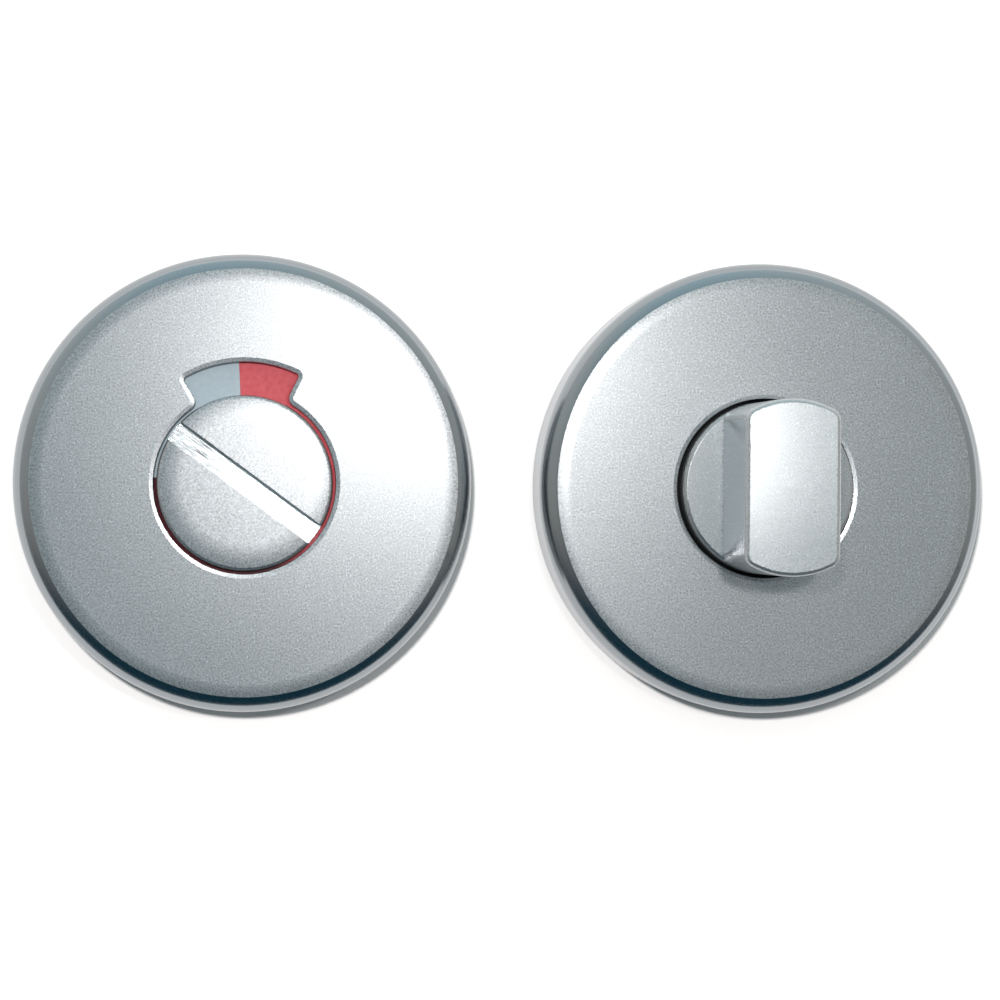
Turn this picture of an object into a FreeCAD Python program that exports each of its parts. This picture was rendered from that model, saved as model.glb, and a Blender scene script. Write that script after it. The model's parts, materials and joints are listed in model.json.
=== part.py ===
import FreeCAD, Part
import os
from math import cos, hypot, radians, sin

# Bathroom turn and release set for a door: two round roses that lie side by side on
# their door faces. The release rose carries a coin slot and an indicator that shows
# through a fan shaped window. The turn rose carries the thumb turn.
# All lengths are in millimetres and all angles in degrees. Z = 0 is the door face,
# +Z points out of the door and +Y is up on the door.

Vector = FreeCAD.Vector
up = Vector(0, 0, 1)

# How the two halves lie
rose_spacing = 59.9       # between the two turning axes
release_lie_angle = 2.5   # the loose release half lies turned by this much
release_rest_angle = 51.5  # the release stands this far from vacant towards engaged

# Rose covers, pressed from sheet
rose_d = 52.0
rose_h = 8.0
sheet = 1.0
edge_r = 2.6              # rounding into the side wall, turned after pressing
edge_angle = 18.0         # slope where that rounding starts, behind a crisp line
crown_r = 12.0            # gentle fall of the face up to the crisp line
crown_angle = 6.5         # slope at the end of the fall
bend_r = 1.5              # inside of the bend from the face to the wall
hole_d = 20.6
lip_r = 0.5               # rounded front edge of the openings
window_depth = 3.4        # radial height of the window above the round hole
window_angle = 57.5
window_middle_angle = 90.0  # upwards on the door
nose_r = 1.0              # where the sides of the window run into the hole
corner_r = 0.4            # outer corners of the window

# Snap fit between cover and base plate
snap_groove = 0.3         # depth rolled into the inside of the cover wall
snap_groove_h = 1.2
snap_z = 3.0              # middle of the groove
snap_play = 0.1
snap_tabs = 4
snap_first_angle = 45.0   # first tongue, between the bosses
snap_tab_angle = 18.0
snap_slit_angle = 3.0     # from the end of a tongue to the middle of its slit
snap_slit = 1.0

# Base plates, moulded
plate_clear = 0.2         # around the plate, inside the cover
plate_floor = 2.0
rim_w = 1.8
rim_gap = 0.1             # below the start of the cover's bend
hub_wall = 1.5
rib_count = 8
rib_w = 1.2
rib_drop = 0.8            # ribs end below the top of the hub
bolt_inset = 7.0          # from the edge of the rose to a fixing's axis, 38 mm apart
bolt_angle = 0.0          # the through bolts lie level
bolt_hole_d = 4.4
bolt_boss_wall = 1.8
wood_screw_angle = 90.0   # the wood screws stand upright
wood_screw_d = 4.0
wood_screw_boss_d = 7.6
wood_screw_boss_h = 1.0   # above the floor
wood_screw_rim = 0.3      # flat left around the countersink
insert_d = 6.0
insert_h = 3.6
insert_core_d = 3.3       # M4 thread
insert_groove = 0.4

# Bearing and the stack that holds a turn in its plate
stem_d = 9.5
stem_recess = 0.5         # the stem ends inside the plate
stem_land = 0.3           # below the groove
running_clear = 0.05      # between stem and bush
running_gap = 0.1         # between flat faces that slide
bush_wall = 1.5
bush_flange_w = 1.1
bush_flange_t = 0.6
clip_t = 0.8
clip_groove = 0.45
clip_w = 1.5
clip_open_angle = 56.0    # opening of the ring
clip_ear_r = 1.15
clip_ear_hole_d = 1.0
washer_t = 0.4
washer_w = 2.6
spring_t = 0.3
spring_cone = 0.3
stack_gap = 0.05
bore_clear = 0.3          # around the stack, inside the plate

# Stop that limits each turn
travel_angle = 90.0
stop_middle_angle = 270.0  # the stop groove lies below the axis
lug_angle = 16.0
lug_w = 1.3
lug_h = 1.3
lug_clear = 0.3
lug_end_play_angle = 1.5  # left at each end of the travel

# Socket for the square spindle
socket = 5.2
release_socket_roof = 1.0  # metal left below the coin slot
turn_socket_depth = 14.0

# Coin release
coin_gap = 0.35           # around the disc, inside the hole
coin_proud = 0.3
coin_crown_r = 7.0        # gentle fall towards the edge of the disc
coin_crown_angle = 20.0   # slope at the end of the fall
coin_edge_r = 0.5
coin_slot_w = 2.4
coin_slot_depth = 1.2
coin_slot_edge_r = 0.12
shoulder_w = 1.0

# Indicator
indicator_gap = 0.4       # below the cover
indicator_t = 1.0
indicator_overlap = 2.0   # beyond the window
label_t = 0.2
label_gap = 0.1           # below the coin disc
label_inset = 0.2         # from the edge of the indicator
label_angle = 84.0
label_lead_angle = 51.0   # from the window's middle to the start of the label when vacant
key_w = 0.9               # step from the stem out to the key
key_flat = 1.2            # depth of its two flats
key_clear = 0.05

# Thumb turn
turn_gap = 0.4            # around the flange, inside the hole
flange_proud = 1.8
flange_edge_r = 0.4
grip_w = 10.8
grip_h = 13.5             # above the flange
grip_corner_r = 1.5       # upright corners
grip_edge_r = 0.5         # around the front face
grip_face_r = 200.0

# Derived levels and radii
rose_r = rose_d / 2
hole_r = hole_d / 2
window_r = hole_r + window_depth
cover_under = rose_h - sheet
inner_r = rose_r - sheet
crest_r = rose_r - edge_r * (1 - sin(radians(edge_angle)))
crest_z = rose_h - crown_r * (1 - cos(radians(crown_angle)))
face_r = crest_r - crown_r * sin(radians(crown_angle))
wall_top = crest_z - edge_r * cos(radians(edge_angle))
bend_low = cover_under - bend_r
fixing_r = rose_r - bolt_inset
plate_r = inner_r - plate_clear
rim_top = bend_low - rim_gap

label_top = cover_under - indicator_gap
indicator_top = label_top - label_t
indicator_under = indicator_top - indicator_t
indicator_r = window_r + indicator_overlap
bush_top = indicator_under - running_gap
hub_top = bush_top - bush_flange_t

stem_r = stem_d / 2
groove_r = stem_r - clip_groove
clip_under = stem_recess + stem_land + stack_gap
washer_under = clip_under + clip_t + stack_gap
spring_under = washer_under + washer_t + stack_gap
stack_top = spring_under + spring_t + spring_cone + stack_gap
stack_r = stem_r + washer_w
bush_r = stem_r + running_clear + bush_wall
bush_flange_r = bush_r + bush_flange_w
lug_in = bush_flange_r + lug_clear
lug_out = lug_in + lug_w
hub_r = lug_out + lug_clear + hub_wall
lug_under = indicator_under - lug_h
stop_from = stop_middle_angle - travel_angle / 2
stop_to = stop_middle_angle + travel_angle / 2

coin_r = hole_r - coin_gap
coin_under = label_top + label_gap
coin_top = rose_h + coin_proud
coin_crest_r = coin_r - coin_edge_r * (1 - sin(radians(coin_crown_angle)))
coin_flat_r = coin_crest_r - coin_crown_r * sin(radians(coin_crown_angle))
coin_crest_z = coin_top - coin_crown_r * (1 - cos(radians(coin_crown_angle)))
coin_edge_z = coin_crest_z - coin_edge_r * cos(radians(coin_crown_angle))
slot_floor = coin_top - coin_slot_depth
key_r = stem_r + key_w
key_half = key_r - key_flat
shoulder_r = key_r + shoulder_w
turn_r = hole_r - turn_gap
flange_top = rose_h + flange_proud
turn_top = flange_top + grip_h

margin = 1.0              # how far a cutting tool runs past what it cuts
near = 1e-3               # lengths this small count as none


def point(r, z):
    return Vector(r, 0, z)


def around(centre, radius, angle):
    return point(centre[0] + radius * cos(radians(angle)), centre[1] + radius * sin(radians(angle)))


def line(a, b):
    return Part.LineSegment(a, b).toShape()


def arc(centre, radius, start, end):
    middle = (start + end) / 2
    return Part.Arc(*[around(centre, radius, angle) for angle in (start, middle, end)]).toShape()


def turned(*edges):
    """Revolves a closed profile in the XZ plane about Z."""
    return Part.Face(Part.Wire(list(edges))).revolve(Vector(), up, 360)


def polygon(*corners):
    points = [point(r, z) for r, z in corners]
    return [line(a, b) for a, b in zip(points, points[1:] + points[:1])]


def ring(inner, outer, low, high):
    return turned(*polygon((inner, low), (outer, low), (outer, high), (inner, high)))


def cylinder(radius, low, high, x=0.0, y=0.0):
    return Part.makeCylinder(radius, high - low, Vector(x, y, low))


def box(width, depth, low, high):
    return Part.makeBox(width, depth, high - low, Vector(-width / 2, -depth / 2, low))


def sector(radius, low, high, start, end):
    wedge = Part.makeCylinder(radius, high - low, Vector(0, 0, low), up, end - start)
    return spun(wedge, start)


def ring_sector(inner, outer, low, high, start, end):
    return sector(outer, low, high, start, end).cut(cylinder(inner, low - margin, high + margin))


def spun(shape, angle):
    copy = shape.copy()
    copy.rotate(Vector(), up, angle)
    return copy


def fixing_places(first_angle):
    """The two places across the rose, at a fixing's distance from its axis."""
    angles = [radians(first_angle + half) for half in (0, 180)]
    return [(fixing_r * cos(a), fixing_r * sin(a)) for a in angles]


# Rose covers

def cover_blank():
    """Dished sheet: flat face, gentle crown, crisp line, rounded edge and side wall."""
    shell = [
        line(point(0, rose_h), point(face_r, rose_h)),
        arc((face_r, rose_h - crown_r), crown_r, 90, 90 - crown_angle),
        arc((rose_r - edge_r, wall_top), edge_r, 90 - edge_angle, 0),
        line(point(rose_r, wall_top), point(rose_r, 0)),
        line(point(rose_r, 0), point(inner_r, 0)),
        line(point(inner_r, 0), point(inner_r, bend_low)),
        arc((inner_r - bend_r, bend_low), bend_r, 0, 90),
        line(point(inner_r - bend_r, cover_under), point(0, cover_under)),
        line(point(0, cover_under), point(0, rose_h)),
    ]
    groove_low = snap_z - snap_groove_h / 2
    groove = ring(inner_r - margin, inner_r + snap_groove, groove_low, groove_low + snap_groove_h)
    return turned(*shell).cut(groove)


def rounded_lip(cover):
    """Rounds the front edge of the opening, which lies in the flat of the face."""
    lip = [e for e in cover.Edges
           if e.BoundBox.ZMin > rose_h - sheet / 2 and e.BoundBox.DiagonalLength < 2 * rose_r
           and all(hypot(v.Point.x, v.Point.y) < face_r - lip_r for v in e.Vertexes)]
    return cover.makeFillet(lip_r, lip)


def upright_edges(shape, radius):
    """Edges along Z at this distance from the axis."""
    return [e for e in shape.Edges
            if e.BoundBox.ZLength > sheet and e.BoundBox.XLength + e.BoundBox.YLength < near
            and abs(hypot(e.Vertexes[0].Point.x, e.Vertexes[0].Point.y) - radius) < near]


def release_cover():
    low, high = cover_under - margin, rose_h + margin
    start = window_middle_angle - window_angle / 2
    fan = sector(window_r, low, high, start, start + window_angle)
    opening = cylinder(hole_r, low, high).fuse(fan).removeSplitter()
    opening = opening.makeFillet(nose_r, upright_edges(opening, hole_r))
    opening = opening.makeFillet(corner_r, upright_edges(opening, window_r))
    return rounded_lip(cover_blank().cut(opening))


def turn_cover():
    return rounded_lip(cover_blank().cut(cylinder(hole_r, cover_under - margin, rose_h + margin)))


# Base plates

def snap_angles():
    return [snap_first_angle + 360 / snap_tabs * i for i in range(snap_tabs)]


def snap_bumps():
    """Raised tongues on the plate's rim that spring into the groove of the cover."""
    reach = plate_clear + snap_groove - snap_play
    half = snap_groove_h / 2 - snap_play
    tongue = turned(*polygon((plate_r - rim_w / 2, snap_z - half), (plate_r, snap_z - half),
                             (plate_r + reach, snap_z), (plate_r, snap_z + half),
                             (plate_r - rim_w / 2, snap_z + half)))
    keep = sector(rose_r, snap_z - margin, snap_z + margin, -snap_tab_angle / 2, snap_tab_angle / 2)
    tab = tongue.common(keep)
    return [spun(tab, angle) for angle in snap_angles()]


def snap_slits():
    """Slits on both sides of each tongue, so that it can give."""
    corner = Vector(plate_r - rim_w - margin, -snap_slit / 2, plate_floor)
    slit = Part.makeBox(rim_w + 2 * margin, snap_slit, rim_top, corner)
    side = snap_tab_angle / 2 + snap_slit_angle
    return [spun(slit, angle + turn) for angle in snap_angles() for turn in (-side, side)]


def base_plate(bolt_d):
    """Moulded plate: floor, rim, ribs, hub with the stop groove, and bosses for the fixings."""
    boss_top = hub_top - rib_drop
    body = cylinder(plate_r, 0, plate_floor)
    body = body.fuse(ring(plate_r - rim_w, plate_r, 0, rim_top))
    ribs = Part.makeBox(plate_r - rim_w / 2, rib_w, boss_top, Vector(0, -rib_w / 2, 0))
    body = body.fuse([spun(ribs, 360 / rib_count * (i + 0.5)) for i in range(rib_count)])
    screw_top = plate_floor + wood_screw_boss_h
    bolts, screws = fixing_places(bolt_angle), fixing_places(wood_screw_angle)
    bosses = [cylinder(insert_d / 2 + bolt_boss_wall, 0, boss_top, x, y) for x, y in bolts]
    bosses += [cylinder(wood_screw_boss_d / 2, 0, screw_top, x, y) for x, y in screws]
    body = body.fuse([boss.common(cylinder(plate_r, 0, boss_top)) for boss in bosses])
    body = body.fuse(cylinder(hub_r, 0, hub_top))
    body = body.cut(snap_slits()).fuse(snap_bumps())

    holes = [cylinder(bolt_d / 2, -margin, boss_top + margin, x, y) for x, y in bolts]
    screw_r = wood_screw_d / 2
    sink = wood_screw_boss_d / 2 - wood_screw_rim - screw_r
    for x, y in screws:
        holes.append(cylinder(screw_r, -margin, boss_top + margin, x, y))
        holes.append(Part.makeCone(screw_r, screw_r + sink, sink, Vector(x, y, screw_top - sink)))
    holes.append(cylinder(stack_r + bore_clear, -margin, stack_top))
    holes.append(cylinder(bush_r, 0, hub_top + margin))
    reach = lug_angle / 2 + lug_end_play_angle
    holes.append(ring_sector(lug_in - lug_clear, lug_out + lug_clear, lug_under - lug_clear, hub_top + margin,
                             stop_from - reach, stop_to + reach))
    return body.cut(holes).removeSplitter()


def threaded_inserts():
    """Brass inserts for the through bolts, grooved so that the plate holds them."""
    def insert(x, y):
        outer = insert_d / 2
        third = insert_h / 3
        profile = polygon((insert_core_d / 2, 0), (outer, 0), (outer, third), (outer - insert_groove, third),
                          (outer - insert_groove, 2 * third), (outer, 2 * third), (outer, insert_h),
                          (insert_core_d / 2, insert_h))
        return turned(*profile).translated(Vector(x, y, 0))
    return Part.makeCompound([insert(x, y) for x, y in fixing_places(bolt_angle)])


# Bearing, washers and retaining rings

def bush():
    bore = stem_r + running_clear
    return turned(*polygon((bore, stack_top), (bush_r, stack_top), (bush_r, hub_top),
                           (bush_flange_r, hub_top), (bush_flange_r, bush_top), (bore, bush_top)))


def thrust_washer():
    return ring(stem_r + stack_gap, stack_r, washer_under, washer_under + washer_t)


def spring_washer():
    """Dished spring that loads the turn against its bush."""
    inner, outer = stem_r + stack_gap, stack_r - stack_gap
    return turned(*polygon((inner, spring_under + spring_cone), (outer, spring_under),
                           (outer, spring_under + spring_t), (inner, spring_under + spring_cone + spring_t)))


def retaining_ring():
    """External ring with two holed ears at its opening."""
    high = clip_under + clip_t
    half = clip_open_angle / 2
    body = ring_sector(groove_r, groove_r + clip_w, clip_under, high, half, 360 - half)
    ear_r = groove_r + clip_ear_r
    for angle in (half, 360 - half):
        x, y = ear_r * cos(radians(angle)), ear_r * sin(radians(angle))
        body = body.fuse(cylinder(clip_ear_r, clip_under, high, x, y))
    body = body.cut(cylinder(groove_r, 0, rose_h))
    for angle in (half, 360 - half):
        x, y = ear_r * cos(radians(angle)), ear_r * sin(radians(angle))
        body = body.cut(cylinder(clip_ear_hole_d / 2, 0, rose_h, x, y))
    return body.removeSplitter()


def stem(top):
    """Round journal with the groove for its retaining ring."""
    low, high = clip_under - stack_gap, clip_under + clip_t + stack_gap
    return turned(*polygon((0, stem_recess), (stem_r, stem_recess), (stem_r, low), (groove_r, low),
                           (groove_r, high), (stem_r, high), (stem_r, top), (0, top)))


def stop_lug(angle, top):
    return ring_sector(lug_in, lug_out, lug_under, top, angle - lug_angle / 2, angle + lug_angle / 2)


# Release half

def key(clear):
    """Stem section with two flats, which carries the indicator round."""
    width = 2 * (key_half + clear)
    round_part = cylinder(key_r + clear, indicator_under, indicator_top)
    return round_part.common(box(width, 4 * key_r, indicator_under, indicator_top))


def coin_release():
    """Slotted disc with its stem, with the slot upright as when vacant."""
    crest = 90 - coin_crown_angle
    disc = turned(
        line(point(0, coin_under), point(coin_r, coin_under)),
        line(point(coin_r, coin_under), point(coin_r, coin_edge_z)),
        arc((coin_r - coin_edge_r, coin_edge_z), coin_edge_r, 0, crest),
        arc((coin_flat_r, coin_top - coin_crown_r), coin_crown_r, crest, 90),
        line(point(coin_flat_r, coin_top), point(0, coin_top)),
        line(point(0, coin_top), point(0, coin_under)),
    )
    disc = disc.cut(box(coin_slot_w, 2 * rose_r, slot_floor, coin_top + margin))
    slot_edges = [e for e in disc.Edges if e.BoundBox.ZMin > coin_top - near and e.BoundBox.XLength < near]
    disc = disc.makeFillet(coin_slot_edge_r, slot_edges)
    body = disc.fuse([cylinder(shoulder_r, indicator_top, coin_under), key(0), stem(indicator_under)])
    roof = slot_floor - release_socket_roof
    return body.cut(box(socket, socket, 0, roof)).removeSplitter()


def indicator_disc():
    body = cylinder(indicator_r, indicator_under, indicator_top).fuse(stop_lug(stop_from, indicator_under))
    hole = key(key_clear)
    holes = [hole.translated(up * step) for step in (-margin / 2, 0, margin / 2)]
    return body.cut(holes).removeSplitter()


def vacant_segment():
    """Grey foil on the part of the indicator that the window shows when vacant."""
    start = window_middle_angle - label_lead_angle
    return ring_sector(shoulder_r + label_inset, indicator_r - label_inset, indicator_top, label_top,
                       start, start + label_angle)


# Turn half

def thumb_turn():
    """Round flange with an upright grip whose ends follow the edge of the flange."""
    low = bush_top + running_gap
    grip = cylinder(turn_r, low, turn_top + margin).common(box(grip_w, 4 * turn_r, low, turn_top + margin))
    grip = grip.makeFillet(grip_corner_r, upright_edges(grip, turn_r))
    grip = grip.common(Part.makeSphere(grip_face_r, Vector(0, 0, turn_top - grip_face_r)))
    front = [e for e in grip.Edges if e.BoundBox.ZMin > flange_top + grip_h / 2]
    grip = grip.makeFillet(grip_edge_r, front)
    flange = cylinder(turn_r, low, flange_top)
    rim = [e for e in flange.Edges if e.BoundBox.ZMin > flange_top - near]
    flange = flange.makeFillet(flange_edge_r, rim)
    body = flange.fuse([grip, stop_lug(stop_to, low), stem(low)])
    return body.cut(box(socket, socket, 0, stem_recess + turn_socket_depth)).removeSplitter()


def placed(shape, side, angle):
    """Turns a piece about its own axis and moves it to its half of the set."""
    return spun(shape, angle).translated(Vector(side * rose_spacing / 2, 0, 0))


def build():
    fixed, moving = release_lie_angle, release_lie_angle + release_rest_angle
    parts = {
        "release_cover": placed(release_cover(), -1, fixed),
        "release_base_plate": placed(base_plate(insert_d), -1, fixed),
        "release_threaded_inserts": placed(threaded_inserts(), -1, fixed),
        "release_bush": placed(bush(), -1, fixed),
        "coin_release": placed(coin_release(), -1, moving),
        "indicator_disc": placed(indicator_disc(), -1, moving),
        "vacant_segment": placed(vacant_segment(), -1, moving),
        "release_spring_washer": placed(spring_washer(), -1, moving),
        "release_thrust_washer": placed(thrust_washer(), -1, moving),
        "release_retaining_ring": placed(retaining_ring(), -1, moving),
        "turn_cover": placed(turn_cover(), 1, 0),
        "turn_base_plate": placed(base_plate(bolt_hole_d), 1, 0),
        "turn_bush": placed(bush(), 1, 0),
        "thumb_turn": placed(thumb_turn(), 1, 0),
        "turn_spring_washer": placed(spring_washer(), 1, 0),
        "turn_thrust_washer": placed(thrust_washer(), 1, 0),
        "turn_retaining_ring": placed(retaining_ring(), 1, 0),
    }
    os.makedirs("parts", exist_ok=True)
    for name, shape in parts.items():
        shape.exportStep(f"parts/{name}.step")
        print(f"{name}: {len(shape.Solids)} solid, {shape.Volume:.1f} mm3, valid {shape.isValid()}")


build()
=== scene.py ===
import json
import math
import bpy
import numpy as np
from mathutils import Matrix, Vector


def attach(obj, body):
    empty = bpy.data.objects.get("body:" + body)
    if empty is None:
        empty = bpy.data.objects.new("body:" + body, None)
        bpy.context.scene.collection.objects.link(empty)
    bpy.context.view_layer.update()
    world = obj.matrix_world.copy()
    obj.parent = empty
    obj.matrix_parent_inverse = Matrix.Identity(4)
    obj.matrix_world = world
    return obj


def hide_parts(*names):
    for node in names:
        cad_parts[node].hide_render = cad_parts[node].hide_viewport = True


# Bathroom turn and release set, lying face up on a pale table.
# Metres throughout. +X runs from the release to the thumb turn, +Y is up on the door,
# +Z out of the door.

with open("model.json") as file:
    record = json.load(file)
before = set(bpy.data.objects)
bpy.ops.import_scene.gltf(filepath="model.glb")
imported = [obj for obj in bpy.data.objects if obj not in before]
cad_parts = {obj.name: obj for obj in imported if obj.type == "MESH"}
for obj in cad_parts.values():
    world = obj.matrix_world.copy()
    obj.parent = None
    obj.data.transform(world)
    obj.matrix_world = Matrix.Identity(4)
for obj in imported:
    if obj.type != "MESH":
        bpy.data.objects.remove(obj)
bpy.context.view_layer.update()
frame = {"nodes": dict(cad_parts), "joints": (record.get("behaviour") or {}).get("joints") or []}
nodes = frame["nodes"]
mm = 0.001
noiseSpan = (0.3, 0.7)     # most of what a noise texture gives lies between these
axes = {joint["child"]: Vector(joint["pos_m"]) for joint in frame["joints"]}
print("frame loaded:", len(nodes), "nodes")


def hexColour(code):
    # sRGB hex to linear, channel by channel
    srgb = [int(code[i:i + 2], 16) / 255 for i in (1, 3, 5)]
    linear = [c / 12.92 if c <= 0.04045 else ((c + 0.055) / 1.055) ** 2.4 for c in srgb]
    return linear + [1.0]


def addNode(tree, kind, settings=None, **links):
    # one node, its settings and what feeds it: a socket links, anything else is a value
    node = tree.nodes.new(kind)
    for name, value in (settings or {}).items():
        setattr(node, name, value)
    for name, value in links.items():
        key = int(name[1:]) if name[0] == "i" and name[1:].isdigit() else name.replace("_", " ")
        socket = node.inputs[key]
        if isinstance(value, bpy.types.NodeSocket):
            tree.links.new(value, socket)
        else:
            socket.default_value = value
    return node


def newMaterial(name):
    material = bpy.data.materials.new(name)
    material.use_nodes = True
    material.node_tree.nodes.clear()
    return material, material.node_tree


def dress(names, material):
    for name in names:
        slots = nodes[name].data.materials
        slots.clear()
        slots.append(material)


# Clear anodised aluminium, bead blasted: a broad soft gloss with a fine, even speckle
satin = {
    "pale": "#D7D6D7",
    "dim": "#CBCBCC",
    "speck": "#F4F6F7",
    "metallic": 0.9,       # the film scatters a little light
    "roughness": 0.295,
    "roughnessSpread": 0.03,
    "grainMm": 0.2,        # blast grain, drawn coarser than the real 0.05 mm so that it shows
    "grainDepthMm": 0.0014,
    "grainTint": (0.72, 1.26),  # darkest and palest, as shares of the colour
    "speckMm": 0.15,
    "speckFrom": (0.68, 0.75),
    "cloudMm": 12.0,       # slow change of the anodic film
}


def blastedSkin(tree, at, look=satin):
    # colour, roughness and height in millimetres of the blasted surface
    grain = addNode(tree, "ShaderNodeTexNoise", Vector=at, Scale=1 / (look["grainMm"] * mm), Detail=2.0)
    cloud = addNode(tree, "ShaderNodeTexNoise", Vector=at, Scale=1 / (look["cloudMm"] * mm), Detail=3.0)
    speck = addNode(tree, "ShaderNodeTexNoise", Vector=at, Scale=1 / (look["speckMm"] * mm), Detail=0.0)
    film = addNode(tree, "ShaderNodeMix", {"data_type": "RGBA"}, Factor=cloud.outputs["Fac"],
                   i6=hexColour(look["dim"]), i7=hexColour(look["pale"]))
    pits = addNode(tree, "ShaderNodeMapRange", Value=grain.outputs["Fac"],
                   From_Min=noiseSpan[0], From_Max=noiseSpan[1],
                   To_Min=look["grainTint"][0], To_Max=look["grainTint"][1])
    film = addNode(tree, "ShaderNodeVectorMath", {"operation": "SCALE"}, i0=film.outputs[2],
                   Scale=pits.outputs[0])
    fleck = addNode(tree, "ShaderNodeMapRange", Value=speck.outputs["Fac"],
                    From_Min=look["speckFrom"][0], From_Max=look["speckFrom"][1])
    colour = addNode(tree, "ShaderNodeMix", {"data_type": "RGBA"}, Factor=fleck.outputs[0],
                     i6=film.outputs[0], i7=hexColour(look["speck"]))
    gloss = addNode(tree, "ShaderNodeMapRange", Value=grain.outputs["Fac"],
                    From_Min=noiseSpan[0], From_Max=noiseSpan[1],
                    To_Min=look["roughness"] - look["roughnessSpread"],
                    To_Max=look["roughness"] + look["roughnessSpread"])
    height = addNode(tree, "ShaderNodeMath", {"operation": "MULTIPLY"}, i0=grain.outputs["Fac"],
                     i1=look["grainDepthMm"])
    return colour.outputs[2], gloss.outputs[0], height.outputs[0]


def finishMetal(tree, colour, roughness, height, normal, metallic=satin["metallic"]):
    # heights are in millimetres
    bump = addNode(tree, "ShaderNodeBump", Height=height, Strength=1.0, Distance=mm, Normal=normal)
    shader = addNode(tree, "ShaderNodeBsdfPrincipled", Base_Color=colour, Metallic=metallic,
                     Roughness=roughness, Normal=bump.outputs[0])
    addNode(tree, "ShaderNodeOutputMaterial", Surface=shader.outputs[0])


# Covers: the face is blasted, the edge and the lips of the openings were turned smooth afterwards
cover = {
    "creaseMm": 7.92,      # height of the crisp line round the face
    "creaseBlendMm": 0.015,
    "edgeRoughness": 0.22,
    "edgeColour": "#B2B7BB",
    "edgeMetallic": 1.0,   # cut clear of the film
    "shadedWallMm": (7.1, 7.35),  # below these heights the side wall is painted darker, as painted shade next to the table
    "shadedWallShare": 0.72,
    "lipMm": (7.71, 7.997),  # heights between which the lips of the openings lie
    "lipBlendMm": 0.03,
    "lipSlope": 0.125,     # the lips were eased by hand to this shallow slope
    "holeMm": 18.0,        # the openings lie nearer to the axes than this
    "bareColour": "#F0F2F3",
    "markCore": 0.5,       # share of a mark that has its full depth
    "marks": [             # middle, half length and half width in millimetres, direction in degrees
        {"at": (41.3, 2.7), "half": (0.65, 0.06), "angle": 58, "depth": 0.02, "bare": 0.7},
        {"at": (-24.7, -15.3), "half": (1.9, 0.05), "angle": 34, "depth": 0.004, "bare": 0.25},
        {"at": (43.2, -13.0), "half": (1.1, 0.05), "angle": -24, "depth": 0.003, "bare": 0.2},
        {"at": (-41.6, 9.5), "half": (0.8, 0.04), "angle": 71, "depth": 0.003, "bare": 0.2},
    ],
}


def easedLip(tree, at, level):
    # where the lips are, and a normal that leans into the opening by no more than the lip's slope
    low, high = [c * mm for c in cover["lipMm"]]
    aside = addNode(tree, "ShaderNodeVectorMath", {"operation": "ABSOLUTE"}, i0=at).outputs[0]
    aside = addNode(tree, "ShaderNodeVectorMath", {"operation": "SUBTRACT"}, i0=aside,
                    i1=axes["turn"]).outputs[0]
    flat = addNode(tree, "ShaderNodeVectorMath", {"operation": "MULTIPLY"}, i0=aside, i1=(1, 1, 0)).outputs[0]
    far = addNode(tree, "ShaderNodeVectorMath", {"operation": "LENGTH"}, i0=flat).outputs["Value"]
    inside = addNode(tree, "ShaderNodeMath", {"operation": "LESS_THAN"}, i0=far,
                     i1=cover["holeMm"] * mm).outputs[0]
    above = addNode(tree, "ShaderNodeMapRange", Value=level, From_Min=low,
                    From_Max=low + cover["lipBlendMm"] * mm).outputs[0]
    below = addNode(tree, "ShaderNodeMath", {"operation": "LESS_THAN"}, i0=level, i1=high).outputs[0]
    lip = addNode(tree, "ShaderNodeMath", {"operation": "MULTIPLY"}, i0=above, i1=below).outputs[0]
    lip = addNode(tree, "ShaderNodeMath", {"operation": "MULTIPLY"}, i0=lip, i1=inside).outputs[0]
    normal = addNode(tree, "ShaderNodeNewGeometry").outputs["Normal"]
    lean = addNode(tree, "ShaderNodeVectorMath", {"operation": "MULTIPLY"}, i0=normal, i1=(1, 1, 0)).outputs[0]
    lean = addNode(tree, "ShaderNodeVectorMath", {"operation": "NORMALIZE"}, i0=lean).outputs[0]
    lean = addNode(tree, "ShaderNodeVectorMath", {"operation": "SCALE"}, i0=lean,
                   Scale=cover["lipSlope"]).outputs[0]
    lean = addNode(tree, "ShaderNodeVectorMath", {"operation": "ADD"}, i0=lean, i1=(0, 0, 1)).outputs[0]
    mixed = addNode(tree, "ShaderNodeMix", {"data_type": "VECTOR"}, Factor=lip, i4=normal, i5=lean).outputs[1]
    mixed = addNode(tree, "ShaderNodeVectorMath", {"operation": "NORMALIZE"}, i0=mixed).outputs[0]
    return lip, mixed


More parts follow.
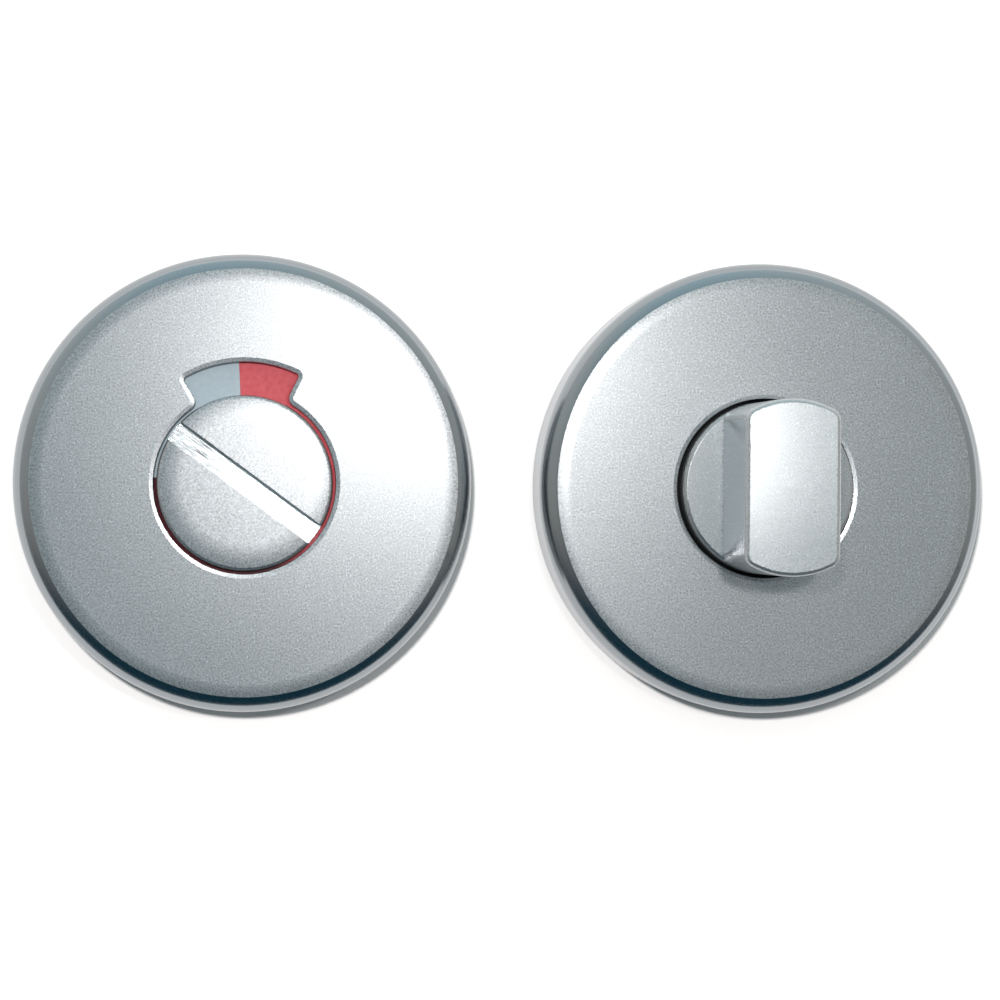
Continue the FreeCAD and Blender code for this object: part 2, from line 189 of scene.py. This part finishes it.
def coverMetal():
    material, tree = newMaterial("bead blasted anodised aluminium")
    at = addNode(tree, "ShaderNodeTexCoord").outputs["Object"]
    colour, roughness, height = blastedSkin(tree, at)
    level = addNode(tree, "ShaderNodeSeparateXYZ", Vector=at).outputs["Z"]
    face = addNode(tree, "ShaderNodeMapRange", Value=level, From_Max=cover["creaseMm"] * mm,
                   From_Min=(cover["creaseMm"] - cover["creaseBlendMm"]) * mm)
    lip, normal = easedLip(tree, at, level)
    face = addNode(tree, "ShaderNodeMath", {"operation": "MAXIMUM"}, i0=face.outputs[0], i1=lip).outputs[0]
    # painted shade: the side wall's colour is darkened below the heights given above
    wall = addNode(tree, "ShaderNodeMapRange", Value=level, From_Min=cover["shadedWallMm"][0] * mm,
                   From_Max=cover["shadedWallMm"][1] * mm, To_Min=cover["shadedWallShare"], To_Max=1).outputs[0]
    edge = addNode(tree, "ShaderNodeVectorMath", {"operation": "SCALE"},
                   i0=hexColour(cover["edgeColour"])[:3], Scale=wall).outputs[0]
    colour = addNode(tree, "ShaderNodeMix", {"data_type": "RGBA"}, Factor=face, i6=edge, i7=colour).outputs[2]
    roughness = addNode(tree, "ShaderNodeMix", {"data_type": "FLOAT"}, Factor=face,
                        i2=cover["edgeRoughness"], i3=roughness).outputs[0]
    metallic = addNode(tree, "ShaderNodeMix", {"data_type": "FLOAT"}, Factor=face,
                       i2=cover["edgeMetallic"], i3=satin["metallic"]).outputs[0]
    height = addNode(tree, "ShaderNodeMath", {"operation": "MULTIPLY"}, i0=height, i1=face).outputs[0]
    for mark in cover["marks"]:
        # distance from the mark's middle, where 1 is the edge of a long thin ellipse
        place = addNode(tree, "ShaderNodeMapping", {"vector_type": "TEXTURE"}, Vector=at,
                        Location=[c * mm for c in mark["at"]] + [0],
                        Scale=[c * mm for c in mark["half"]] + [1],
                        Rotation=(0, 0, math.radians(mark["angle"]))).outputs[0]
        far = addNode(tree, "ShaderNodeVectorMath", {"operation": "LENGTH"}, i0=place).outputs["Value"]
        inside = addNode(tree, "ShaderNodeMapRange", Value=far, From_Min=cover["markCore"], From_Max=1.0,
                         To_Min=1, To_Max=0).outputs[0]
        bare = addNode(tree, "ShaderNodeMath", {"operation": "MULTIPLY"}, i0=inside,
                       i1=mark["bare"]).outputs[0]
        colour = addNode(tree, "ShaderNodeMix", {"data_type": "RGBA"}, Factor=bare, i6=colour,
                         i7=hexColour(cover["bareColour"])).outputs[2]
        height = addNode(tree, "ShaderNodeMath", {"operation": "MULTIPLY_ADD"}, i0=inside,
                         i1=-mark["depth"], i2=height).outputs[0]
    finishMetal(tree, colour, roughness, height, normal, metallic)
    return material


# Coin release: blasted disc with a milled slot, whose floor keeps the cutter's fine marks
coin = {
    "slotMm": 7.3,         # the slot's floor lies below this height
    "slotBlendMm": 0.05,
    "slotAngle": 144.0,
    "slotColour": "#F3F5F6",
    "slotRoughness": 0.24,
    "markMm": (2.4, 0.09),  # length and width of a cutter mark
    "markDepthMm": 0.02,
    "crownMm": (7.86, 7.9),  # the fall towards the edge is softer above these heights
    "crownShare": 0.25,    # polishing left this share of its slope
    "lean": (-0.011, -0.009),  # the disc was faced a little out of square
    "markFrom": (0.42, 0.52),  # below the first a mark is a full scratch, above the second there is none
    "markTint": (0.22, 1.0),  # of the deepest scratch, and without one
    "markEndMm": (1.5, 5.5),  # coins have scratched the floor towards one end, from here to there
}


def coinMetal():
    material, tree = newMaterial("bead blasted anodised aluminium, milled slot")
    at = addNode(tree, "ShaderNodeTexCoord").outputs["Object"]
    colour, roughness, height = blastedSkin(tree, at)
    level = addNode(tree, "ShaderNodeSeparateXYZ", Vector=at).outputs["Z"]
    slot = addNode(tree, "ShaderNodeMapRange", Value=level, From_Max=coin["slotMm"] * mm,
                   From_Min=(coin["slotMm"] - coin["slotBlendMm"]) * mm, To_Min=1, To_Max=0).outputs[0]
    along = addNode(tree, "ShaderNodeMapping", {"vector_type": "TEXTURE"}, Vector=at,
                    Location=axes["release"], Rotation=(0, 0, math.radians(coin["slotAngle"])),
                    Scale=[c * mm for c in coin["markMm"]] + [1]).outputs[0]
    marks = addNode(tree, "ShaderNodeTexNoise", Vector=along, Scale=1.0, Detail=2.0).outputs["Fac"]
    milled = addNode(tree, "ShaderNodeMath", {"operation": "MULTIPLY"}, i0=marks,
                     i1=coin["markDepthMm"]).outputs[0]
    # scratches: how dark they are grows outwards, and they follow the cutter's marks
    outward = addNode(tree, "ShaderNodeSeparateXYZ", Vector=along).outputs["X"]
    deep = addNode(tree, "ShaderNodeMapRange", Value=outward,
                   From_Min=coin["markEndMm"][0] / coin["markMm"][0],
                   From_Max=coin["markEndMm"][1] / coin["markMm"][0],
                   To_Min=coin["markTint"][1], To_Max=coin["markTint"][0]).outputs[0]
    worn = addNode(tree, "ShaderNodeMapRange", Value=marks, From_Min=coin["markFrom"][0],
                   From_Max=coin["markFrom"][1], To_Min=deep, To_Max=coin["markTint"][1]).outputs[0]
    worn = addNode(tree, "ShaderNodeVectorMath", {"operation": "SCALE"},
                   i0=hexColour(coin["slotColour"])[:3], Scale=worn).outputs[0]
    colour = addNode(tree, "ShaderNodeMix", {"data_type": "RGBA"}, Factor=slot, i6=colour, i7=worn).outputs[2]
    roughness = addNode(tree, "ShaderNodeMix", {"data_type": "FLOAT"}, Factor=slot, i2=roughness,
                        i3=coin["slotRoughness"]).outputs[0]
    height = addNode(tree, "ShaderNodeMix", {"data_type": "FLOAT"}, Factor=slot, i2=height,
                     i3=milled).outputs[0]
    place = addNode(tree, "ShaderNodeMapping", {"vector_type": "TEXTURE"}, Vector=at,
                    Location=axes["release"], Scale=(mm, mm, mm)).outputs[0]
    lean = addNode(tree, "ShaderNodeVectorMath", {"operation": "DOT_PRODUCT"}, i0=place,
                   i1=(*coin["lean"], 0)).outputs["Value"]
    height = addNode(tree, "ShaderNodeMath", {"operation": "ADD"}, i0=height, i1=lean).outputs[0]
    # the normal's part across is cut to a share of itself where the edge starts to fall
    share = addNode(tree, "ShaderNodeMapRange", Value=level, From_Min=coin["crownMm"][0] * mm,
                    From_Max=coin["crownMm"][1] * mm, To_Min=1, To_Max=coin["crownShare"]).outputs[0]
    scale = addNode(tree, "ShaderNodeCombineXYZ", X=share, Y=share, Z=1.0).outputs[0]
    normal = addNode(tree, "ShaderNodeNewGeometry").outputs["Normal"]
    normal = addNode(tree, "ShaderNodeVectorMath", {"operation": "MULTIPLY"}, i0=normal, i1=scale).outputs[0]
    normal = addNode(tree, "ShaderNodeVectorMath", {"operation": "NORMALIZE"}, i0=normal).outputs[0]
    finishMetal(tree, colour, roughness, height, normal)
    return material


# Thumb turn: blasted, with two flats milled smooth along the grip, and a front a little out of square
grip = {
    "skin": dict(satin, pale="#DCDCDC", dim="#D3D4D5", grainTint=(0.9, 1.09)),
    "flangeShare": 0.86,   # the flange was left unblasted and is darker
    "rampMm": (10.0, 22.0),  # the front's slope fades in between these heights
    "frontSlope": (0.045, -0.022),
    "frontDomeMm": 450.0,  # takes part of the dome out of the front's shine
    "flatMm": 5.39,        # the flats lie further than this from the axis
    "footMm": 9.85,        # and above this height
    "markMm": (3.0, 0.12),
    "markDepthMm": 0.006,
    "flatRoughness": 0.13,
    "rimMm": 22.78,        # height of the tumbled edge round the front
    "rimHalfMm": (0.15, 0.25),  # half its width, without and with the blend
    "rimRoughness": 0.5,
    "flatColour": "#E0E6E9",
}


def turnMetal():
    material, tree = newMaterial("bead blasted anodised aluminium, milled flats")
    at = addNode(tree, "ShaderNodeTexCoord").outputs["Object"]
    colour, roughness, height = blastedSkin(tree, at, grip["skin"])
    place = addNode(tree, "ShaderNodeMapping", {"vector_type": "TEXTURE"}, Vector=at,
                    Location=axes["turn"], Scale=(mm, mm, mm)).outputs[0]
    part = addNode(tree, "ShaderNodeSeparateXYZ", Vector=place).outputs
    aside = addNode(tree, "ShaderNodeMath", {"operation": "ABSOLUTE"}, i0=part["X"]).outputs[0]
    outer = addNode(tree, "ShaderNodeMath", {"operation": "GREATER_THAN"}, i0=aside,
                    i1=grip["flatMm"]).outputs[0]
    above = addNode(tree, "ShaderNodeMath", {"operation": "GREATER_THAN"}, i0=part["Z"],
                    i1=grip["footMm"]).outputs[0]
    flat = addNode(tree, "ShaderNodeMath", {"operation": "MULTIPLY"}, i0=outer, i1=above).outputs[0]
    along = addNode(tree, "ShaderNodeMapping", {"vector_type": "TEXTURE"}, Vector=at,
                    Scale=(1, grip["markMm"][0] * mm, grip["markMm"][1] * mm)).outputs[0]
    marks = addNode(tree, "ShaderNodeTexNoise", Vector=along, Scale=1.0, Detail=2.0).outputs["Fac"]
    milled = addNode(tree, "ShaderNodeMath", {"operation": "MULTIPLY"}, i0=marks,
                     i1=grip["markDepthMm"]).outputs[0]
    share = addNode(tree, "ShaderNodeMapRange", Value=above, To_Min=grip["flangeShare"], To_Max=1).outputs[0]
    colour = addNode(tree, "ShaderNodeVectorMath", {"operation": "SCALE"}, i0=colour, Scale=share).outputs[0]
    colour = addNode(tree, "ShaderNodeMix", {"data_type": "RGBA"}, Factor=flat, i6=colour,
                     i7=hexColour(grip["flatColour"])).outputs[2]
    roughness = addNode(tree, "ShaderNodeMix", {"data_type": "FLOAT"}, Factor=flat, i2=roughness,
                        i3=grip["flatRoughness"]).outputs[0]
    away = addNode(tree, "ShaderNodeMath", {"operation": "SUBTRACT"}, i0=part["Z"],
                   i1=grip["rimMm"]).outputs[0]
    away = addNode(tree, "ShaderNodeMath", {"operation": "ABSOLUTE"}, i0=away).outputs[0]
    rim = addNode(tree, "ShaderNodeMapRange", Value=away, From_Min=grip["rimHalfMm"][0],
                  From_Max=grip["rimHalfMm"][1], To_Min=1, To_Max=0).outputs[0]
    roughness = addNode(tree, "ShaderNodeMix", {"data_type": "FLOAT"}, Factor=rim, i2=roughness,
                        i3=grip["rimRoughness"]).outputs[0]
    height = addNode(tree, "ShaderNodeMix", {"data_type": "FLOAT"}, Factor=flat, i2=height,
                     i3=milled).outputs[0]
    # height of the front: a slope across it plus a shallow bowl, half the square of the distance
    # over a radius
    up = addNode(tree, "ShaderNodeMapRange", Value=part["Z"], From_Min=grip["rampMm"][0],
                 From_Max=grip["rampMm"][1]).outputs[0]
    level = addNode(tree, "ShaderNodeVectorMath", {"operation": "MULTIPLY"}, i0=place, i1=(1, 1, 0)).outputs[0]
    bowl = addNode(tree, "ShaderNodeVectorMath", {"operation": "DOT_PRODUCT"}, i0=level,
                   i1=level).outputs["Value"]
    slope = addNode(tree, "ShaderNodeVectorMath", {"operation": "DOT_PRODUCT"}, i0=level,
                    i1=(*grip["frontSlope"], 0)).outputs["Value"]
    front = addNode(tree, "ShaderNodeMath", {"operation": "MULTIPLY_ADD"}, i0=bowl,
                    i1=0.5 / grip["frontDomeMm"], i2=slope).outputs[0]
    height = addNode(tree, "ShaderNodeMath", {"operation": "MULTIPLY_ADD"}, i0=front, i1=up,
                     i2=height).outputs[0]
    normal = addNode(tree, "ShaderNodeNewGeometry").outputs["Normal"]
    finishMetal(tree, colour, roughness, height, normal)
    return material


# Painted shade: the foot of the indicator next to the coin is darkened in its colour, towards the lower left,
# where the coin shades the gap
coinGapShade = {
    "colour": "#2A0C12",
    "share": 0.9,
    "reachMm": (10.5, 10.8),  # from the axis, fades out between these
    "towards": (-0.6, -0.8),
    "footMm": (1.5, 5.5),  # fades in between these, counted towards the foot
}
coat = {"relief": 0.4, "glossSpread": 0.05}  # share of the full relief, and roughness either way


def plainCoat(name, light, dark, roughness, metallic, patternMm, depthMm, paintedShade=None):
    # a coat or moulding with a fine mottle in colour, gloss and relief, and, where given, painted shade next
    # to the coin
    material, tree = newMaterial(name)
    at = addNode(tree, "ShaderNodeTexCoord").outputs["Object"]
    mottle = addNode(tree, "ShaderNodeTexNoise", Vector=at, Scale=1 / (patternMm * mm), Detail=4.0)
    spread = addNode(tree, "ShaderNodeMapRange", Value=mottle.outputs["Fac"], From_Min=noiseSpan[0],
                     From_Max=noiseSpan[1]).outputs[0]
    tint = addNode(tree, "ShaderNodeMix", {"data_type": "RGBA"}, Factor=spread, i6=hexColour(dark),
                   i7=hexColour(light))
    # painted shade: the colour is darkened next to the coin, towards the lower left
    if paintedShade:
        place = addNode(tree, "ShaderNodeMapping", {"vector_type": "TEXTURE"}, Vector=at,
                        Location=axes["release"], Scale=(mm, mm, mm)).outputs[0]
        flat = addNode(tree, "ShaderNodeVectorMath", {"operation": "MULTIPLY"}, i0=place,
                       i1=(1, 1, 0)).outputs[0]
        far = addNode(tree, "ShaderNodeVectorMath", {"operation": "LENGTH"}, i0=flat).outputs["Value"]
        near = addNode(tree, "ShaderNodeMapRange", Value=far, From_Min=paintedShade["reachMm"][0],
                       From_Max=paintedShade["reachMm"][1], To_Min=paintedShade["share"], To_Max=0).outputs[0]
        down = addNode(tree, "ShaderNodeVectorMath", {"operation": "DOT_PRODUCT"}, i0=flat,
                       i1=(*paintedShade["towards"], 0)).outputs["Value"]
        foot = addNode(tree, "ShaderNodeMapRange", Value=down, From_Min=paintedShade["footMm"][0],
                       From_Max=paintedShade["footMm"][1]).outputs[0]
        amount = addNode(tree, "ShaderNodeMath", {"operation": "MULTIPLY"}, i0=near, i1=foot).outputs[0]
        tint = addNode(tree, "ShaderNodeMix", {"data_type": "RGBA"}, Factor=amount, i6=tint.outputs[2],
                       i7=hexColour(paintedShade["colour"]))
    bump = addNode(tree, "ShaderNodeBump", Height=mottle.outputs["Fac"], Strength=coat["relief"],
                   Distance=depthMm * mm)
    gloss = addNode(tree, "ShaderNodeMapRange", Value=spread, To_Min=roughness - coat["glossSpread"],
                    To_Max=roughness + coat["glossSpread"])
    shader = addNode(tree, "ShaderNodeBsdfPrincipled", Base_Color=tint.outputs[2], Metallic=metallic,
                     Roughness=gloss.outputs[0], Normal=bump.outputs[0])
    addNode(tree, "ShaderNodeOutputMaterial", Surface=shader.outputs[0])
    return material


# Stove enamel: an even red with a soft gloss and a faint pebble, with painted shade next to the coin
redEnamel = plainCoat("red stove enamel on steel", "#D76268", "#C7464F", 0.4, 0.0, 0.7, 0.01, coinGapShade)
# Printed foil: flat and even, with little gloss
greyFoil = plainCoat("grey printed foil", "#B2BEC4", "#A8B4BC", 0.45, 0.0, 0.6, 0.005)
# Moulded nylon: dull black, a little cloudy from the glass in it
blackNylon = plainCoat("glass filled nylon, moulded", "#2B2C2E", "#1E1F21", 0.55, 0.0, 0.4, 0.02)
# Moulded acetal: waxy white
whiteAcetal = plainCoat("acetal, moulded", "#E6E5DF", "#DAD9D2", 0.4, 0.0, 0.6, 0.01)
# Oil blacked steel: dark, with a thin shine
springSteel = plainCoat("spring steel, oil blacked", "#6A6B6E", "#55565A", 0.38, 1.0, 0.5, 0.01)
# Turned brass: warm and bright, a little uneven
turnedBrass = plainCoat("free cutting brass, turned", "#D0AC5E", "#BE9A4E", 0.3, 1.0, 0.4, 0.005)

dress(["release_cover", "turn_cover"], coverMetal())
dress(["coin_release"], coinMetal())
dress(["thumb_turn"], turnMetal())
dress(["indicator_disc"], redEnamel)
dress(["vacant_segment"], greyFoil)
dress(["release_base_plate", "turn_base_plate"], blackNylon)
dress(["release_bush", "turn_bush"], whiteAcetal)
dress([n for n in nodes if n.endswith("_washer") or n.endswith("_ring")], springSteel)
dress(["release_threaded_inserts"], turnedBrass)
print("materials:", len(bpy.data.materials))

# Brass inserts with a real M4 thread, seen from behind, in millimetres and degrees
insert = {
    "outerR": 3.0, "height": 3.6, "groove": 0.4, "coreR": 1.65, "threadR": 2.0, "pitch": 0.7,
    "flank": 1.4, "flat": 0.2,  # steepness of the thread's wave, and what is cut off its tips
    "chamferR": 2.15, "spread": 19.0, "lieAngle": 2.5, "around": 72, "rows": 73, "sharpAngle": 35,
}


def threadedInserts():
    # radius over height and angle: a triangular thread wave that climbs one pitch a turn, opened by a
    # chamfer at both ends; the outside is a grooved ring. The profile closes on itself.
    angle = np.linspace(0, 2 * np.pi, insert["around"], endpoint=False)[None, :]
    high = insert["height"]
    z = np.linspace(0, high, insert["rows"])[:, None]
    phase = (z / insert["pitch"] - angle / (2 * np.pi)) % 1.0
    wave = np.clip(insert["flank"] * np.abs(2 * phase - 1) - insert["flat"], 0, 1)
    inner = insert["coreR"] + (insert["threadR"] - insert["coreR"]) * wave
    inner = np.maximum(inner, insert["chamferR"] - np.minimum(z, high - z))
    out, slim, third = insert["outerR"], insert["outerR"] - insert["groove"], high / 3
    outside = np.array([(out, high), (out, 2 * third), (slim, 2 * third),
                        (slim, third), (out, third), (out, 0)])
    radius = np.vstack([inner, np.repeat(outside[:, :1], insert["around"], axis=1)])
    level = np.vstack([np.repeat(z, insert["around"], axis=1),
                       np.repeat(outside[:, 1:], insert["around"], axis=1)])
    ring = np.stack([radius * np.cos(angle), radius * np.sin(angle), level], axis=-1)
    rows, columns = radius.shape
    index = np.arange(rows * columns).reshape(rows, columns)
    nextRow, nextColumn = np.roll(index, -1, 0), np.roll(index, -1, 1)
    quads = np.stack([index, nextRow, np.roll(nextRow, -1, 1), nextColumn], axis=-1).reshape(-1, 4)
    lie = math.radians(insert["lieAngle"])
    across = insert["spread"] * np.array([math.cos(lie), math.sin(lie), 0.0])
    middle = np.array(axes["release"]) / mm
    points = np.concatenate([(ring + middle + side * across).reshape(-1, 3) for side in (1, -1)]) * mm
    faces = np.concatenate([quads, quads + rows * columns])
    mesh = bpy.data.meshes.new("threaded_inserts")
    mesh.from_pydata(points, [], faces)
    mesh.polygons.foreach_set("use_smooth", np.ones(len(faces), dtype=bool))
    mesh.set_sharp_from_angle(angle=math.radians(insert["sharpAngle"]))
    mesh.materials.append(turnedBrass)
    piece = bpy.data.objects.new("threaded_inserts", mesh)
    bpy.context.scene.collection.objects.link(piece)
    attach(piece, "roses")
    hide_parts("release_threaded_inserts")


threadedInserts()
print("inserts threaded")

# Pale table, brightened where it is seen, also in the metal, so that it turns white outside the shadow
table = {"size": 3.0, "under": 0.1, "colour": "#EDE8E6", "gain": 1.42}  # size in metres, under in mm


def paleTable():
    half, low = table["size"] / 2, -table["under"] * mm
    mesh = bpy.data.meshes.new("table")
    mesh.from_pydata([(-half, -half, low), (half, -half, low), (half, half, low), (-half, half, low)],
                     [], [(0, 1, 2, 3)])
    floor = bpy.data.objects.new("table", mesh)
    bpy.context.scene.collection.objects.link(floor)
    material, tree = newMaterial("pale table paper")
    path = addNode(tree, "ShaderNodeLightPath")
    seen = addNode(tree, "ShaderNodeMath", {"operation": "MAXIMUM"}, i0=path.outputs["Is Camera Ray"],
                   i1=path.outputs["Is Glossy Ray"])
    seen = addNode(tree, "ShaderNodeMath", {"operation": "MAXIMUM"}, i0=seen.outputs[0],
                   i1=path.outputs["Is Transmission Ray"])
    gain = addNode(tree, "ShaderNodeMapRange", Value=seen.outputs[0], To_Min=1.0, To_Max=table["gain"])
    tint = addNode(tree, "ShaderNodeVectorMath", {"operation": "SCALE"},
                   i0=hexColour(table["colour"])[:3], Scale=gain.outputs[0])
    paper = addNode(tree, "ShaderNodeBsdfDiffuse", Color=tint.outputs[0])
    addNode(tree, "ShaderNodeOutputMaterial", Surface=paper.outputs[0])
    mesh.materials.append(material)


paleTable()

# Lamps: place, aim and size in millimetres, radiance, and whether the metal mirrors them
lamps = {
    "near": {"place": (22.5, 33, 300), "aim": (0, 5, 0), "size": (16, 16),
             "radiance": 86.0, "mirrored": True},
    "top": {"place": (-120, 85, 600), "aim": (0, 0, 0), "size": (36, 36),
            "radiance": 600.0, "mirrored": False},
}


def addLamp(name, box):
    lamp = bpy.data.lights.new(name, "AREA")
    lamp.shape = "RECTANGLE"
    lamp.size, lamp.size_y = [s * mm for s in box["size"]]
    lamp.energy = box["radiance"] * math.pi * lamp.size * lamp.size_y
    holder = bpy.data.objects.new(name, lamp)
    place, aim = [Vector(v) * mm for v in (box["place"], box["aim"])]
    holder.location = place
    holder.rotation_euler = (aim - place).to_track_quat("-Z", "Y").to_euler()
    holder.visible_glossy = box["mirrored"]
    bpy.context.scene.collection.objects.link(holder)


for name, box in lamps.items():
    addLamp(name, box)

# Room: pale blue towards the top of the picture, dark towards its foot, warmer at both sides
room = {
    "pale": "#C8E3EA", "dark": "#153A48", "paleAt": 1.15, "darkAt": -0.4,
    "side": "#F2E2D4",
    "sideFoot": (-0.6, -0.15),  # it fades in between these, counted up the picture
    "sides": [             # from and to, as directions across, and the share of the side's colour
        {"from": -0.05, "to": 0.65, "share": 0.34},
        {"from": -0.25, "to": -0.7, "share": 0.34},
    ],
}


def roomLight():
    world = bpy.data.worlds.new("room")
    bpy.context.scene.world = world
    world.use_nodes = True
    tree = world.node_tree
    tree.nodes.clear()
    direction = addNode(tree, "ShaderNodeTexCoord").outputs["Generated"]
    part = addNode(tree, "ShaderNodeSeparateXYZ", Vector=direction).outputs
    upward = addNode(tree, "ShaderNodeMapRange", Value=part["Y"], From_Min=room["darkAt"],
                     From_Max=room["paleAt"])
    colour = addNode(tree, "ShaderNodeMix", {"data_type": "RGBA"}, Factor=upward.outputs[0],
                     i6=hexColour(room["dark"]), i7=hexColour(room["pale"]))
    foot = addNode(tree, "ShaderNodeMapRange", Value=part["Y"], From_Min=room["sideFoot"][0],
                   From_Max=room["sideFoot"][1]).outputs[0]
    for side in room["sides"]:
        aside = addNode(tree, "ShaderNodeMapRange", Value=part["X"], From_Min=side["from"],
                        From_Max=side["to"], To_Max=side["share"])
        share = addNode(tree, "ShaderNodeMath", {"operation": "MULTIPLY"}, i0=aside.outputs[0], i1=foot)
        colour = addNode(tree, "ShaderNodeMix", {"data_type": "RGBA"}, Factor=share.outputs[0],
                         i6=colour.outputs[2], i7=hexColour(room["side"]))
    soft = addNode(tree, "ShaderNodeBackground", Color=colour.outputs[2], Strength=1.0)
    addNode(tree, "ShaderNodeOutputWorld", Surface=soft.outputs[0])


roomLight()
bpy.context.scene.view_settings.view_transform = "Standard"
print("light:", ", ".join(lamps))

# Camera, seen from above and a little from the left; image up is +Y
view = {
    "aim": (-0.38, -1.63, 4.0), "distance": 400.0, "frameWidth": 115.1,  # millimetres
    "left": 7.4, "down": 0.2, "roll": 0.54,  # degrees
    "sensor": 36.0, "nearest": 10.0,  # millimetres
}


def addCamera():
    camera = bpy.data.cameras.new("photo view")
    camera.sensor_width = view["sensor"]
    camera.lens = camera.sensor_width * view["distance"] / view["frameWidth"]
    camera.clip_start = view["nearest"] * mm
    holder = bpy.data.objects.new("photo view", camera)
    left, down, roll = [math.radians(view[key]) for key in ("left", "down", "roll")]
    back = Vector((-math.tan(left), -math.tan(down), 1)).normalized()
    right = Vector((0, 1, 0)).cross(back).normalized()
    upward = back.cross(right)
    turn = Matrix((right, upward, back)).transposed() @ Matrix.Rotation(roll, 3, "Z")
    place = (Vector(view["aim"]) + back * view["distance"]) * mm
    holder.matrix_world = Matrix.Translation(place) @ turn.to_4x4()
    bpy.context.scene.collection.objects.link(holder)
    bpy.context.scene.camera = holder


addCamera()
